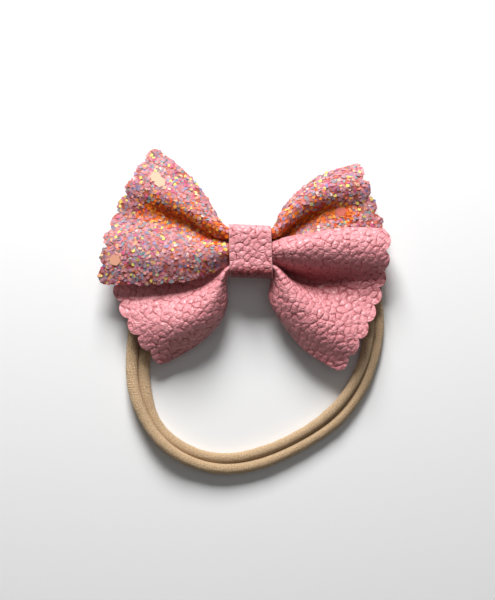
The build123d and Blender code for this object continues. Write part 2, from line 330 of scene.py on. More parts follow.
def wing_grid(side, layer_y, folds, end, columns_per_lobe, rows):
    """Points of a wing's middle surface, one column per step along its scalloped end."""
    fine = FOLD_SAMPLES
    across = curve(np.eye(len(folds)), np.linspace(0, 1, fine), np.linspace(0, 1, len(folds)))
    surface = np.einsum("cf,frx->crx", across, fold_lines(side, layer_y, folds, fine))
    guide = curve(end, np.linspace(0, 1, fine))
    along = arc_places(guide)
    hub = np.array([side * strap_high[0], 0.0])

    def polar(points):
        """Direction and distance from the strap's mouth."""
        arm = points - hub
        return np.arctan2(arm[..., 1], side * arm[..., 0]), np.hypot(arm[..., 0], arm[..., 1])

    guide_angle, guide_reach = polar(guide)
    order = np.argsort(guide_angle)
    angle, reach = polar(surface[..., :2])
    place = np.interp(angle, guide_angle[order], along[order])
    lobe = (place * SCALLOPS) % 1
    bulge = SCALLOP_DEPTH * np.sqrt(np.clip(1 - (2 * lobe - 1) ** 2, 0, 1)) ** LOBE_FULLNESS
    edge = np.interp(angle, guide_angle[order], guide_reach[order]) + bulge
    outside = reach >= edge
    outside[:, : fine // 3] = False
    outside[:, -1] = True
    first = outside.argmax(axis=1)
    column = np.arange(fine)
    inner = reach[column, first - 1] - edge[column, first - 1]
    outer = reach[column, first] - edge[column, first]
    share = np.clip(-inner / np.maximum(outer - inner, 1e-9), 0, 1)
    stop = (first - 1 + share) / (fine - 1)
    lobe_place = place[column, first]

    count = SCALLOPS * columns_per_lobe + 1
    wanted = np.linspace(lobe_place.min(), lobe_place.max(), count)
    order = np.argsort(lobe_place)
    pick = np.interp(wanted, lobe_place[order], column[order])
    stop_at = np.interp(pick, column, stop)
    row_share = np.linspace(0, 1, rows)
    grid = np.zeros((count, rows, 3))
    for c in range(count):
        low = int(min(pick[c], fine - 2))
        mix = pick[c] - low
        line = surface[low] * (1 - mix) + surface[low + 1] * mix
        at = row_share * stop_at[c] * (fine - 1)
        for axis in range(3):
            grid[c, :, axis] = np.interp(at, np.arange(fine), line[:, axis])
    return grid


def roughen(grid):
    """The sheet's gentle unevenness, away from the strap."""
    distance = np.abs(grid[..., 0]) - strap_high[0]
    calm = np.clip(distance / CALM_REACH, 0, 1)
    for c in range(grid.shape[0]):
        for r in range(grid.shape[1]):
            spot = Vector(grid[c, r])
            grid[c, r, 2] += calm[c, r] * sum(high * noise.noise(spot / size) for high, size in UNEVENNESS)
    return grid


def grid_normals(grid):
    """Unit normals of a grid of points."""
    normal = np.cross(np.gradient(grid, axis=1), np.gradient(grid, axis=0))
    return normal / np.maximum(np.linalg.norm(normal, axis=-1, keepdims=True), 1e-9)


def upward(normals, spot):
    """The normals, turned over if those at a spot of the grid face down."""
    return -normals if normals[spot][..., 2].mean() < 0 else normals


def grid_cells(grid):
    """The two edges of each of a grid's cells, and the cells' areas."""
    edges_u = grid[1:, :-1] - grid[:-1, :-1]
    edges_v = grid[:-1, 1:] - grid[:-1, :-1]
    return edges_u, edges_v, np.linalg.norm(np.cross(edges_u, edges_v), axis=-1)


def pebble_grain(grid, seed):
    """Rounded pebbles of an even size over a grid: 0 in the creases between them, 1 on their tops."""
    points = grid.reshape(-1, 3).copy()
    lean = points @ PEBBLE_LEAN
    points -= PEBBLE_STRETCH * lean[:, None] * PEBBLE_LEAN
    dice = np.random.default_rng(seed)
    seeds = np.zeros((0, 3))
    for candidate in dice.permutation(len(points))[:PEBBLE_TRIES]:
        if not len(seeds) or ((seeds - points[candidate]) ** 2).sum(axis=1).min() > PEBBLE_SPACING**2:
            seeds = np.vstack([seeds, points[candidate]])
    swell = dice.uniform(0.7, 1.0, len(seeds))
    grain = np.zeros(len(points))
    for start in range(0, len(points), PEBBLE_BATCH):
        some = points[start : start + PEBBLE_BATCH]
        apart = (some**2).sum(axis=1)[:, None] + (seeds**2).sum(axis=1) - 2 * some @ seeds.T
        near = np.argpartition(apart, 1, axis=1)[:, :2]
        near_apart = np.take_along_axis(apart, near, axis=1)
        order = np.argsort(near_apart, axis=1)
        near = np.take_along_axis(near, order, axis=1)
        near_apart = np.take_along_axis(near_apart, order, axis=1)
        between = np.linalg.norm(seeds[near[:, 0]] - seeds[near[:, 1]], axis=1)
        inside = (near_apart[:, 1] - near_apart[:, 0]) / (2 * between)
        grain[start : start + PEBBLE_BATCH] = swell[near[:, 0]] * (1 - np.exp(-(inside / PEBBLE_SHOULDER)))
    depth = [CREASE_DEPTH + CREASE_DEPTH * noise.noise(Vector(p) / CREASE_PATCH) for p in points]
    return (1 - np.clip(depth, CREASE_LEAST, 1) * (1 - grain)).reshape(grid.shape[:2])


def mesh_piece(name, vertices, faces, materials):
    """A new object from points in millimetres."""
    mesh = bpy.data.meshes.new(name)
    mesh.from_pydata([Vector(v) * MM for v in vertices], [], faces)
    mesh.update()
    piece = bpy.data.objects.new(name, mesh)
    bpy.context.scene.collection.objects.link(piece)
    for material in materials:
        mesh.materials.append(material)
    return piece


def select_only(piece):
    """Makes a piece the only one that an operator acts on."""
    bpy.ops.object.select_all(action="DESELECT")
    piece.select_set(True)
    bpy.context.view_layer.objects.active = piece


def apply_modifier(piece, kind, **settings):
    """Adds a modifier and applies it to the mesh."""
    select_only(piece)
    modifier = piece.modifiers.new(kind.title(), kind)
    for key, value in settings.items():
        setattr(modifier, key, value)
    bpy.ops.object.modifier_apply(modifier=modifier.name)


def grid_faces(columns, rows):
    """Quads over a grid whose points are listed column by column."""
    faces = []
    for c in range(columns - 1):
        for r in range(rows - 1):
            at = c * rows + r
            faces.append((at, at + rows, at + rows + 1, at + 1))
    return faces


def write_attribute(piece, name, values):
    """Keeps a number for each point of a piece, for its material."""
    attribute = piece.data.attributes.new(name, "FLOAT", "POINT")
    attribute.data.foreach_set("value", values.ravel().astype(np.float32))


def painted_valley_shade(grid):
    """How far each point lies in a valley between folds, from 0 up to a set most, for the painted shade that darkens
    the leather there.
    """
    columns = grid.shape[0]
    reach = columns // 4
    height = np.pad(grid[..., 2], ((reach, reach), (0, 0)), mode="edge")
    crest = np.max([height[k : k + columns] for k in range(2 * reach + 1)], axis=0)
    return VALLEY_PAINTED_SHADE * np.clip((crest - grid[..., 2] - VALLEY_SHADE_START) / VALLEY_SHADE_RANGE, 0, 1)


def folded_sheet(name, left, right, materials, pebbled=False):
    """One sheet, from its left end through the pinched waist to its right end, with real thickness."""
    shares = np.linspace(0, 1, WAIST_ROWS + 2)[None, 1:-1, None]
    waist = left[:, :1] * (1 - shares) + right[:, :1] * shares
    grid = np.concatenate([left[:, ::-1], waist, right], axis=1)
    columns, rows = grid.shape[:2]
    normals = upward(grid_normals(grid), (slice(None), rows // 5))
    raised = grid
    if pebbled:
        grain = pebble_grain(grid, SHEET_GRAIN_SEED)
        raised = grid + normals * ((grain - 0.5) * PEBBLE_HEIGHT)[..., None]
    piece = mesh_piece(name, raised.reshape(-1, 3), grid_faces(columns, rows), materials)
    if pebbled:
        write_attribute(piece, "grain", grain)
        # Painted shade: the valleys between folds are darkened in the leather's colour.
        write_attribute(piece, "sunk", painted_valley_shade(grid))
    uv = piece.data.uv_layers.new(name="sheet")
    flat_x = np.cumsum(np.linalg.norm(np.diff(grid, axis=1, prepend=grid[:, :1]), axis=2), axis=1)
    flat_x -= flat_x[:, rows // 2 : rows // 2 + 1]
    flat_y = np.linspace(0.5, -0.5, columns)[:, None] * PATTERN_WIDTH * np.ones((1, rows))
    flat = np.stack([flat_x, flat_y], axis=-1).reshape(-1, 2)
    for loop in piece.data.loops:
        uv.data[loop.index].uv = flat[loop.vertex_index]
    apply_modifier(
        piece, "SOLIDIFY", thickness=SHEET_THICKNESS * MM, offset=0, use_even_offset=False,
        material_offset=1, material_offset_rim=2,
    )
    select_only(piece)
    bpy.ops.object.shade_smooth_by_angle(angle=SMOOTH_ANGLE)
    return piece, grid


# ------------------------------------------------------------------ materials
class Value:
    """A shader socket; arithmetic on it adds Math nodes."""

    def __init__(self, finish, socket):
        self.finish = finish
        self.socket = socket

    def maths(self, operation, *inputs):
        """Adds a Math node for one operation."""
        return self.finish.add("Math", {"operation": operation}, *inputs)

    def __add__(self, other):
        return self.maths("ADD", self, other)

    def __radd__(self, other):
        return self.maths("ADD", other, self)

    def __sub__(self, other):
        return self.maths("SUBTRACT", self, other)

    def __rsub__(self, other):
        return self.maths("SUBTRACT", other, self)

    def __mul__(self, other):
        return self.maths("MULTIPLY", self, other)

    def __rmul__(self, other):
        return self.maths("MULTIPLY", other, self)


class Finish:
    """A material under construction, round one Principled shader."""

    def __init__(self, name, **constants):
        self.material = bpy.data.materials.new(name)
        self.material.use_nodes = True
        self.nodes = self.material.node_tree.nodes
        self.links = self.material.node_tree.links
        self.shader = self.nodes["Principled BSDF"]
        for key, value in constants.items():
            self.shader.inputs[key.replace("_", " ")].default_value = value

    def add(self, kind, settings, *inputs, out=0, **named):
        """Adds a node: its settings first, then its inputs by place or by name."""
        node = self.nodes.new("ShaderNode" + kind)
        for key, value in settings.items():
            setattr(node, key, value)
        for key, value in [*enumerate(inputs), *named.items()]:
            self.feed(node.inputs[key if isinstance(key, int) else key.replace("_", " ")], value)
        return Value(self, node.outputs[out])

    def feed(self, socket, value):
        """Links a value to a socket, or sets a constant there."""
        if isinstance(value, Value):
            self.links.new(value.socket, socket)
        else:
            socket.default_value = value

    def set(self, **inputs):
        """Feeds the shader's inputs and gives the finished material."""
        for key, value in inputs.items():
            self.feed(self.shader.inputs[key.replace("_", " ")], value)
        return self.material


def mix_colours(finish, factor, first, second):
    """A colour between two others."""
    node = finish.nodes.new("ShaderNodeMix")
    node.data_type = "RGBA"
    finish.feed(node.inputs[MIX_FACTOR], factor)
    finish.feed(node.inputs[MIX_FIRST], first if isinstance(first, Value) else (*first, 1))
    finish.feed(node.inputs[MIX_SECOND], second if isinstance(second, Value) else (*second, 1))
    return Value(finish, node.outputs[MIX_RESULT])


def linear(red, green, blue):
    """A colour given as screen values, 0 to 255, in the shader's linear terms."""
    return tuple(((v / 255 + 0.055) / 1.055) ** 2.4 if v > 10 else v / 255 / 12.92 for v in (red, green, blue))


def smooth_step(finish, value, high):
    """Rises smoothly from 0 to 1 as a value goes from 0 to high."""
    return finish.add("MapRange", {"interpolation_type": "SMOOTHSTEP"}, value, 0.0, high, 0.0, 1.0)


def pebbled_leather():
    """Pink litchi-grained leather: rounded pebbles, with painted shade darkening the creases between them and the
    valleys of the folds.
    """
    finish = Finish("pink_litchi_leather", Roughness=0.42, IOR=1.5)
    place = finish.add("TexCoord", {}, out=OBJECT_COORDINATES)
    grain = finish.add("Attribute", {"attribute_name": "grain"}, out=ATTRIBUTE_VALUE)
    sunk = finish.add("Attribute", {"attribute_name": "sunk"}, out=ATTRIBUTE_VALUE)
    small = finish.add("TexNoise", {}, Vector=place, Scale=1500.0, Detail=3.0, Roughness=0.6)
    bend = finish.add("TexNoise", {}, Vector=place, Scale=400.0, Detail=2.0, out=NOISE_COLOUR)
    bent = finish.add("VectorMath", {"operation": "MULTIPLY_ADD"}, bend, (0.0012, 0.0012, 0.0012), place)
    lines = finish.add("TexVoronoi", {"feature": "DISTANCE_TO_EDGE"}, Vector=bent, Scale=560.0)
    wrinkle = smooth_step(finish, lines, 0.18)
    top = smooth_step(finish, grain, 0.6)
    tone = finish.add("TexNoise", {}, Vector=place, Scale=110.0, Detail=2.0)
    base = mix_colours(finish, tone, linear(220, 140, 146), linear(233, 160, 165))
    # Painted shade: the wrinkle lines and the creases between pebbles are darkened in the colour.
    base = mix_colours(finish, wrinkle * 0.3 + 0.7, linear(190, 92, 100), base)
    base = mix_colours(finish, top, linear(168, 68, 74), base)
    # Painted shade: deep red is mixed into the colour in the valleys between folds and on the strap's lower part.
    base = mix_colours(finish, sunk, base, linear(128, 22, 26))
    height = grain + 0.28 * wrinkle + 0.08 * small
    bump = finish.add("Bump", {}, Strength=0.9, Distance=0.0005, Height=height)
    rough = 0.46 - 0.1 * top + 0.08 * small
    return finish.set(Base_Color=base, Normal=bump, Roughness=rough)


def plain_cloth(name, colour, weave):
    """The woven backing of a sheet."""
    finish = Finish(name, Roughness=0.9)
    place = finish.add("UVMap", {"uv_map": "sheet"})
    warp, weft = (
        finish.add("TexWave", {"bands_direction": way}, Vector=place, Scale=weave, Distortion=1.0, Detail=1.0)
        for way in "XY"
    )
    thread = finish.add("Math", {"operation": "MAXIMUM"}, warp, weft)
    dark = tuple(0.75 * v for v in colour)
    base = mix_colours(finish, thread, dark, colour)
    bump = finish.add("Bump", {}, Strength=0.5, Distance=0.0001, Height=thread)
    return finish.set(Base_Color=base, Normal=bump)


def cut_edge(name, colour, core):
    """The raw edge where a sheet was cut: a pale core that frays a little."""
    finish = Finish(name, Roughness=0.8)
    place = finish.add("TexCoord", {}, out=OBJECT_COORDINATES)
    grain = finish.add("TexNoise", {}, Vector=place, Scale=1800.0, Detail=2.0)
    base = mix_colours(finish, grain, colour, core)
    bump = finish.add("Bump", {}, Strength=0.4, Distance=0.0001, Height=grain)
    return finish.set(Base_Color=base, Normal=bump)


def glitter_ground():
    """The coral film that the flakes are set in."""
    finish = Finish("coral_glitter_ground", Roughness=0.45)
    place = finish.add("UVMap", {"uv_map": "sheet"})
    spots = finish.add("TexVoronoi", {"voronoi_dimensions": "2D"}, Vector=place, Scale=1.6)
    patch = finish.add("TexNoise", {}, Vector=place, Scale=0.35, Detail=3.0)
    base = mix_colours(finish, patch, linear(156, 66, 54), linear(188, 96, 80))
    bump = finish.add("Bump", {}, Strength=0.6, Distance=0.0002, Height=spots)
    return finish.set(Base_Color=base, Normal=bump)


def flake_film():
    """Iridescent film flakes, each with its own tint."""
    finish = Finish("iridescent_flake", Roughness=0.6, IOR=1.4)
    tint = finish.add("Attribute", {"attribute_name": "tint"})
    return finish.set(Base_Color=tint)


def knitted_nylon():
    """Fine transverse rib knit in tan nylon, a little fuzzy."""
    finish = Finish("tan_rib_knit", Roughness=0.92, Sheen_Weight=0.12, Sheen_Roughness=0.5)
    place = finish.add("UVMap", {"uv_map": "sheet"})
    wobble = finish.add("TexNoise", {}, Vector=place, Scale=0.9, Detail=3.0, out=NOISE_COLOUR)
    bent = finish.add("VectorMath", {"operation": "MULTIPLY_ADD"}, wobble, (1.1, 1.1, 0.0), place)
    leant = finish.add("Mapping", {}, Vector=bent, Rotation=(0, 0, math.radians(9)))
    ribs = finish.add(
        "TexWave", {"bands_direction": "X", "wave_profile": "SIN"},
        Vector=leant, Scale=0.5, Distortion=2.4, Detail=3.0, Detail_Scale=1.6)
    stitch = finish.add("Mapping", {}, Vector=bent, Scale=(2.2, 1.2, 1))
    loops = finish.add("TexVoronoi", {"voronoi_dimensions": "2D"}, Vector=stitch, Scale=1.0)
    fuzz = finish.add("TexNoise", {}, Vector=place, Scale=1.7, Detail=4.0, Roughness=0.75)
    tone = finish.add("TexNoise", {}, Vector=place, Scale=0.25, Detail=3.0)
    base = mix_colours(finish, tone, linear(200, 160, 114), linear(222, 186, 142))
    base = mix_colours(finish, (1 - ribs) * 0.28, base, linear(158, 114, 70))
    pale = finish.add("MapRange", {}, fuzz, 0.42, 0.66, 0.0, 0.8)
    base = mix_colours(finish, pale, base, linear(246, 220, 184))
    height = 0.5 * ribs + 0.4 * (1 - loops) + 2.4 * fuzz
    bump = finish.add("Bump", {}, Strength=0.9, Distance=0.0004, Height=height)
    return finish.set(Base_Color=base, Normal=bump)


def simple_finish(name, colour, roughness, grain):
    """A plain finish with a fine grain, for thread and glue."""
    finish = Finish(name, Roughness=roughness)
    place = finish.add("TexCoord", {}, out=OBJECT_COORDINATES)
    speck = finish.add("TexNoise", {}, Vector=place, Scale=grain, Detail=2.0)
    base = mix_colours(finish, speck, tuple(0.8 * v for v in colour), colour)
    bump = finish.add("Bump", {}, Strength=0.3, Distance=0.0001, Height=speck)
    return finish.set(Base_Color=base, Normal=bump)


leather = pebbled_leather()
leather_back = plain_cloth("leather_backing", linear(226, 176, 178), 1.6)
leather_edge = cut_edge("leather_cut_edge", linear(206, 130, 136), linear(228, 180, 178))
ground = glitter_ground()
glitter_back = plain_cloth("glitter_backing", linear(232, 200, 190), 1.6)
glitter_edge = cut_edge("glitter_cut_edge", linear(206, 104, 84), linear(240, 190, 176))
flake = flake_film()
knit = knitted_nylon()
thread_finish = simple_finish("polyester_thread", linear(214, 134, 142), 0.6, 3000.0)
glue_finish = simple_finish("hot_melt_glue", linear(226, 214, 186), 0.35, 900.0)

# ------------------------------------------------------------------ the two sheets
ROWS = 146
LOBE_COLUMNS = 18


def wing(side, layer_y, folds, end):
    """A wing's grid, a little uneven."""
    return roughen(wing_grid(side, layer_y, folds, end, LOBE_COLUMNS, ROWS))


glitter_left = wing(-1, waist_y, GLITTER_LEFT, GLITTER_LEFT_END)
glitter_right = wing(1, waist_y, GLITTER_RIGHT, GLITTER_RIGHT_END)
leather_left = wing(-1, -waist_y, LEATHER_LEFT, LEATHER_LEFT_END)
leather_right = wing(1, -waist_y, LEATHER_RIGHT, LEATHER_RIGHT_END)

glitter_sheet, glitter_grid = folded_sheet(
    "glitter_sheet", glitter_left, glitter_right, [ground, glitter_back, glitter_edge])
leather_sheet, leather_grid = folded_sheet(
    "leather_sheet", leather_left, leather_right, [leather, leather_back, leather_edge], pebbled=True)


def cut_size(grid):
    """A sheet's flat width, length and area in metres, measured on its folded middle surface.

    The width runs across the wider end from notch to notch and the length along the longest line end to end.
    """
    notches = (grid.shape[0] - 1) // SCALLOPS
    width = max(line_length(grid[::notches, end]) for end in (0, -1))
    length = max(line_length(line) for line in grid)
    area = float(grid_cells(grid)[2].sum())
    return {"flat": (width * MM, length * MM), "area": area * MM * MM}


# ------------------------------------------------------------------ glitter flakes
FLAKE_RADIUS = 0.76
FLAKE_THICKNESS = 0.06
FLAKES_PER_MM2 = 1.6
FLAKE_SEED = 11
FLAKE_SWAY = 0.16
FLAKE_CORNERS = 6
FULL_SIZE_SHARE = 0.8
FULL_SIZE_RANGE = (0.85, 1.08)
SMALL_RADIUS_RANGE = (0.28, 0.45)
SHADE_RANGE = (0.74, 0.96)
LIFT_RANGE = (0.02, 0.26)
BIG_FLAKE_RADIUS = 2.3
BIG_FLAKE_SWAY = 0.03
BIG_FLAKE_LIFT = 0.4
STRAP_MARGIN = 0.7
POCKET_REACH = 4.4
POCKET_FLATTEN = (1, 1, 0.6)
PEACH = (238, 170, 142)
CORAL = (206, 104, 88)
# How often each film colour comes up, and the colour.
TINTS = [
    (0.22, (214, 136, 142)),
    (0.17, (222, 150, 150)),
    (0.14, (188, 140, 158)),
    (0.10, (164, 140, 154)),
    (0.06, (146, 166, 170)),
    (0.04, (150, 140, 186)),
    (0.07, (212, 94, 130)),
    (0.08, (230, 122, 96)),
    (0.05, (248, 182, 140)),
    # Painted glints: the pale yellow flakes stand in for sparkles of reflected light.
    (0.05, (255, 232, 116)),
    (0.02, (246, 216, 206)),
    (0.03, (136, 116, 106)),
]
# Painted glow: bright orange tints stand in for the light bounced about inside a wing's pocket.
POCKET_GLOW_TINTS = [(0.5, (255, 124, 26)), (0.3, (232, 82, 14)), (0.2, (255, 172, 76))]


def scatter_flakes(name, grid, pocket, big_flakes):
    """Thin hexagonal flakes lying on the front of a wing, more orange in its pocket as a painted glow of light bounced
    there.
    """
    normals = upward(grid_normals(grid), (slice(None), -1))
    edges_u, edges_v, areas = grid_cells(grid)
    areas[np.abs(grid[:-1, :-1, 0]) < strap_high[0] + STRAP_MARGIN] = 0
    dice = np.random.default_rng(FLAKE_SEED)
    count = int(areas.sum() * FLAKES_PER_MM2)
    chosen = dice.choice(areas.size, count, p=areas.ravel() / areas.sum())
    vertices, faces, colours = [], [], []
    pocket_line = curve(pocket, np.linspace(0, 1, 60))

    def pick_tint(palette):
        """One colour of a palette, drawn by its weight."""
        weights = np.array([weight for weight, _ in palette])
        return linear(*palette[dice.choice(len(palette), p=weights / weights.sum())][1])

    def add_flake(centre, normal, radius, tint, sway=FLAKE_SWAY):
        """One closed six-sided flake, tilted a little off the surface."""
        tilt = Vector(dice.normal(0, sway, 3))
        facing = (Vector(normal) + tilt).normalized()
        side = facing.orthogonal().normalized()
        side.rotate(Matrix.Rotation(dice.uniform(0, math.pi), 3, facing))
        other = facing.cross(side)
        start = len(vertices)
        for level in (FLAKE_THICKNESS / 2, -FLAKE_THICKNESS / 2):
            for corner in range(FLAKE_CORNERS):
                angle = corner * math.tau / FLAKE_CORNERS
                spot = Vector(centre) + facing * level
                vertices.append(spot + radius * (math.cos(angle) * side + math.sin(angle) * other))
        below = start + FLAKE_CORNERS
        faces.append([start + k for k in range(FLAKE_CORNERS)])
        faces.append([below + FLAKE_CORNERS - 1 - k for k in range(FLAKE_CORNERS)])
        for k in range(FLAKE_CORNERS):
            after = (k + 1) % FLAKE_CORNERS
            faces.append([start + k, below + k, below + after, start + after])
        colours.extend([(*tint, 1)] * (2 * FLAKE_CORNERS))

    for cell in chosen:
        c, r = divmod(int(cell), areas.shape[1])
        u, v = dice.uniform(0, 1, 2)
        spot = grid[c, r] + u * edges_u[c, r] + v * edges_v[c, r]
        normal = normals[c, r]
        depth = np.linalg.norm((pocket_line - spot) * POCKET_FLATTEN, axis=1).min()
        sunk = math.exp(-((depth / POCKET_REACH) ** 2))
        if dice.uniform() < FULL_SIZE_SHARE:
            radius = FLAKE_RADIUS * dice.uniform(*FULL_SIZE_RANGE)
        else:
            radius = dice.uniform(*SMALL_RADIUS_RANGE)
        shade = dice.uniform(*SHADE_RANGE)
        # Painted glow: flakes near the pocket take the orange tints.
        palette = POCKET_GLOW_TINTS if dice.uniform() < sunk else TINTS
        tint = tuple(shade * k for k in pick_tint(palette))
        lift = SHEET_THICKNESS / 2 + dice.uniform(*LIFT_RANGE)
        add_flake(spot + normal * lift, normal, radius, tint)
    for x, y, colour in big_flakes:
        off = np.hypot(grid[..., 0] - x, grid[..., 1] - y)
        c, r = np.unravel_index(off.argmin(), off.shape)
        centre = grid[c, r] + normals[c, r] * (SHEET_THICKNESS / 2 + BIG_FLAKE_LIFT)
        add_flake(centre, normals[c, r], BIG_FLAKE_RADIUS, linear(*colour), sway=BIG_FLAKE_SWAY)
    piece = mesh_piece(name, vertices, faces, [flake])
    tint = piece.data.attributes.new("tint", "FLOAT_COLOR", "POINT")
    tint.data.foreach_set("color", np.array(colours, np.float32).ravel())
    return piece


def pocket_points(fold):
    """The inner part of a wing's valley fold, where the pocket is deep."""
    return [(x, y, wing_floor + SHEET_THICKNESS / 2 + height) for x, y, height in fold[:-1]]


flakes_left = scatter_flakes(
    "glitter_flakes_left", glitter_left, pocket_points(GLITTER_LEFT[3]),
    [(-52.4, -3.6, PEACH), (-36.8, 28.6, PEACH), (-35.2, 26.6, PEACH)])
flakes_right = scatter_flakes(
    "glitter_flakes_right", glitter_right, pocket_points(GLITTER_RIGHT[3]), [(34.9, 15.6, CORAL)])


# ------------------------------------------------------------------ strap
STRAP_THICKNESS = 1.1
STRAP_CROWN = 0.3
STRAP_EDGE_WOBBLE = 0.16
STRAP_SKEW = (0.03, 0.045)
STRAP_BEVEL = 0.28
# Painted shade on the strap's lower part, where it turns under: how dark it gets at most, where in Y it starts, and
# over what width it grows.
STRAP_PAINTED_SHADE = 0.8
STRAP_SHADE_START = -5.6
STRAP_SHADE_RANGE = 2


def ribbon_piece(name, section, steps, across, materials):
    """A strip whose middle line is a section in Y and Z, as wide as the strap along X."""
    line = curve(section, np.linspace(0, 1, steps))
    length = arc_places(line) * line_length(line)
    grid = np.zeros((steps, across, 3))
    for i, (y, z) in enumerate(line):
        for j in range(across):
            share = j / (across - 1)
            x = strap_low[0] + share * (strap_high[0] - strap_low[0])
            front = min(1, max(0, (z - neck_z) / 6))
            crown = STRAP_CROWN * math.sin(math.pi * share) * front
            edge = STRAP_EDGE_WOBBLE * noise.noise(Vector((y / 4, z / 4, 3 * share)))
            grid[i, j] = (
                x + edge * (2 * share - 1) - STRAP_SKEW[0] * y * front,
                y * (1 + 0.012 * crown) - STRAP_SKEW[1] * x * front,
                z + crown * (z / strap_high[2] - 0.5),
            )
    normals = upward(grid_normals(grid), (steps // 2, across // 2))
    grain = pebble_grain(grid, STRAP_GRAIN_SEED)
    raised = grid + normals * ((grain - 0.5) * PEBBLE_HEIGHT)[..., None]
    piece = mesh_piece(name, raised.reshape(-1, 3), grid_faces(steps, across), materials)
    write_attribute(piece, "grain", grain)
    # Painted shade: the strap's lower part is darkened in its colour.
    shaded_low_part = np.clip((STRAP_SHADE_START - grid[..., 1]) / STRAP_SHADE_RANGE, 0, 1)
    write_attribute(piece, "sunk", STRAP_PAINTED_SHADE * shaded_low_part)
    uv = piece.data.uv_layers.new(name="sheet")
    for loop in piece.data.loops:
        i, j = divmod(loop.vertex_index, across)
        uv.data[loop.index].uv = (grid[i, j, 0] + 40, length[i])
    apply_modifier(
        piece, "SOLIDIFY", thickness=STRAP_THICKNESS * MM, offset=0, material_offset=1, material_offset_rim=2)
    apply_modifier(piece, "BEVEL", width=STRAP_BEVEL * MM, segments=2, angle_limit=SMOOTH_ANGLE, material=2)
    select_only(piece)
    bpy.ops.object.shade_smooth_by_angle(angle=SMOOTH_ANGLE)
    return piece, length[-1]


half_front = (strap_high[1] - strap_low[1] - STRAP_THICKNESS) / 2
front_z = strap_high[2] - STRAP_THICKNESS / 2 - 0.2
tab_z = strap_low[2] + (STRAP_THICKNESS + PEBBLE_HEIGHT) / 2 + 0.05
inner_z = tab_z + STRAP_THICKNESS + PEBBLE_HEIGHT + 0.1
strap_section = [
    (-3.4, inner_z), (0.0, inner_z), (3.2, inner_z + 0.1), (5.0, 3.6), (7.3, 6.7), (half_front - 0.15, 10.5),
    (half_front, 13.2), (half_front - 0.4, 15.4), (half_front - 2.0, front_z - 0.25), (4.0, front_z),
    (0.0, front_z + 0.1), (-4.0, front_z), (-6.6, front_z - 0.1), (1.1 - half_front, front_z - 0.9),
    (0.2 - half_front, front_z - 2.6), (-half_front, 13.2), (0.15 - half_front, 10.5), (-7.3, 6.7), (-5.3, 3.4),
    (-4.4, 1.4), (-2.6, tab_z), (0.0, tab_z), (3.9, tab_z),
]
strap, strap_length = ribbon_piece(
    "leather_strap", strap_section, 190, 44, [leather, leather_back, leather_edge])

# ------------------------------------------------------------------ knitted headband
BAND_SHEET = 0.6
BAND_STATIONS = 800
ROLL_RADIUS = 1.78
ROLL_GAP = 0.33
ROLL_TIGHTEN = 0.42
TURN_SMOOTHING = 40
GATHER_START = 15
GATHER_SOFTNESS = 2.0
GATHER_NARROW = 0.30
GATHER_TALL = 0.20
GATHER_LOWEST_Y = -8
FULLER = 0.14
FULLER_PLACE = 0.25
FULLER_SPREAD = 0.08
PUCKERS = ((0.05, 9), (0.03, 3))
BAND_ROUTE = [
    (0.0, 0.0, neck_z), (-8.5, 0.0, neck_z), (-15.5, -2.0, 4.6), (-26.0, -6.8, 2.6), (-37.0, -15.5, 2.4),
    (-42.6, -27.0, 2.4), (-44.0, -39.0, 2.4), (-44.1, -50.0, 2.4), (-42.0, -60.0, 2.4), (-36.2, -71.0, 2.4),
    (-25.5, -79.4, 2.4), (-11.0, -83.2, 2.4), (5.0, -80.6, 2.4), (20.0, -73.8, 2.4), (32.5, -65.0, 2.4),
    (41.6, -53.4, 2.4), (45.9, -43.5, 2.4), (48.0, -34.0, 2.4), (48.4, -25.0, 2.4), (46.0, -14.4, 2.4),
    (38.0, -6.8, 2.4), (26.5, -3.4, 2.6), (15.5, -0.8, 4.6), (8.5, 0.0, neck_z), (0.0, 0.0, neck_z),
]
# Turn of the curled band about its own line, in degrees, at shares of the way round.
BAND_TURNS = [
    (0.0, 0), (0.18, 5), (0.27, -8), (0.33, -52), (0.38, -46), (0.46, -10), (0.62, 8), (0.72, 30), (0.82, 26),
    (1.0, 0),
]


def band_outline():
    """The closed outline of the curled strip, round both its faces."""
    centre_left = []
    for angle in np.linspace(380, -90, 30):
        inner = max(0.0, (angle - 180) / 200)
        radius = ROLL_RADIUS * (1 - ROLL_TIGHTEN * inner)
        turn = math.radians(angle)
        centre_left.append((-ROLL_RADIUS - ROLL_GAP + radius * math.cos(turn), radius * math.sin(turn)))
    middle = np.array(centre_left + [(-a, b) for a, b in reversed(centre_left)])
    tangent = np.gradient(middle, axis=0)
    tangent /= np.linalg.norm(tangent, axis=1, keepdims=True)
    normal = np.stack([tangent[:, 1], -tangent[:, 0]], axis=1)
    return np.concatenate([middle + normal * BAND_SHEET / 2, (middle - normal * BAND_SHEET / 2)[::-1]])


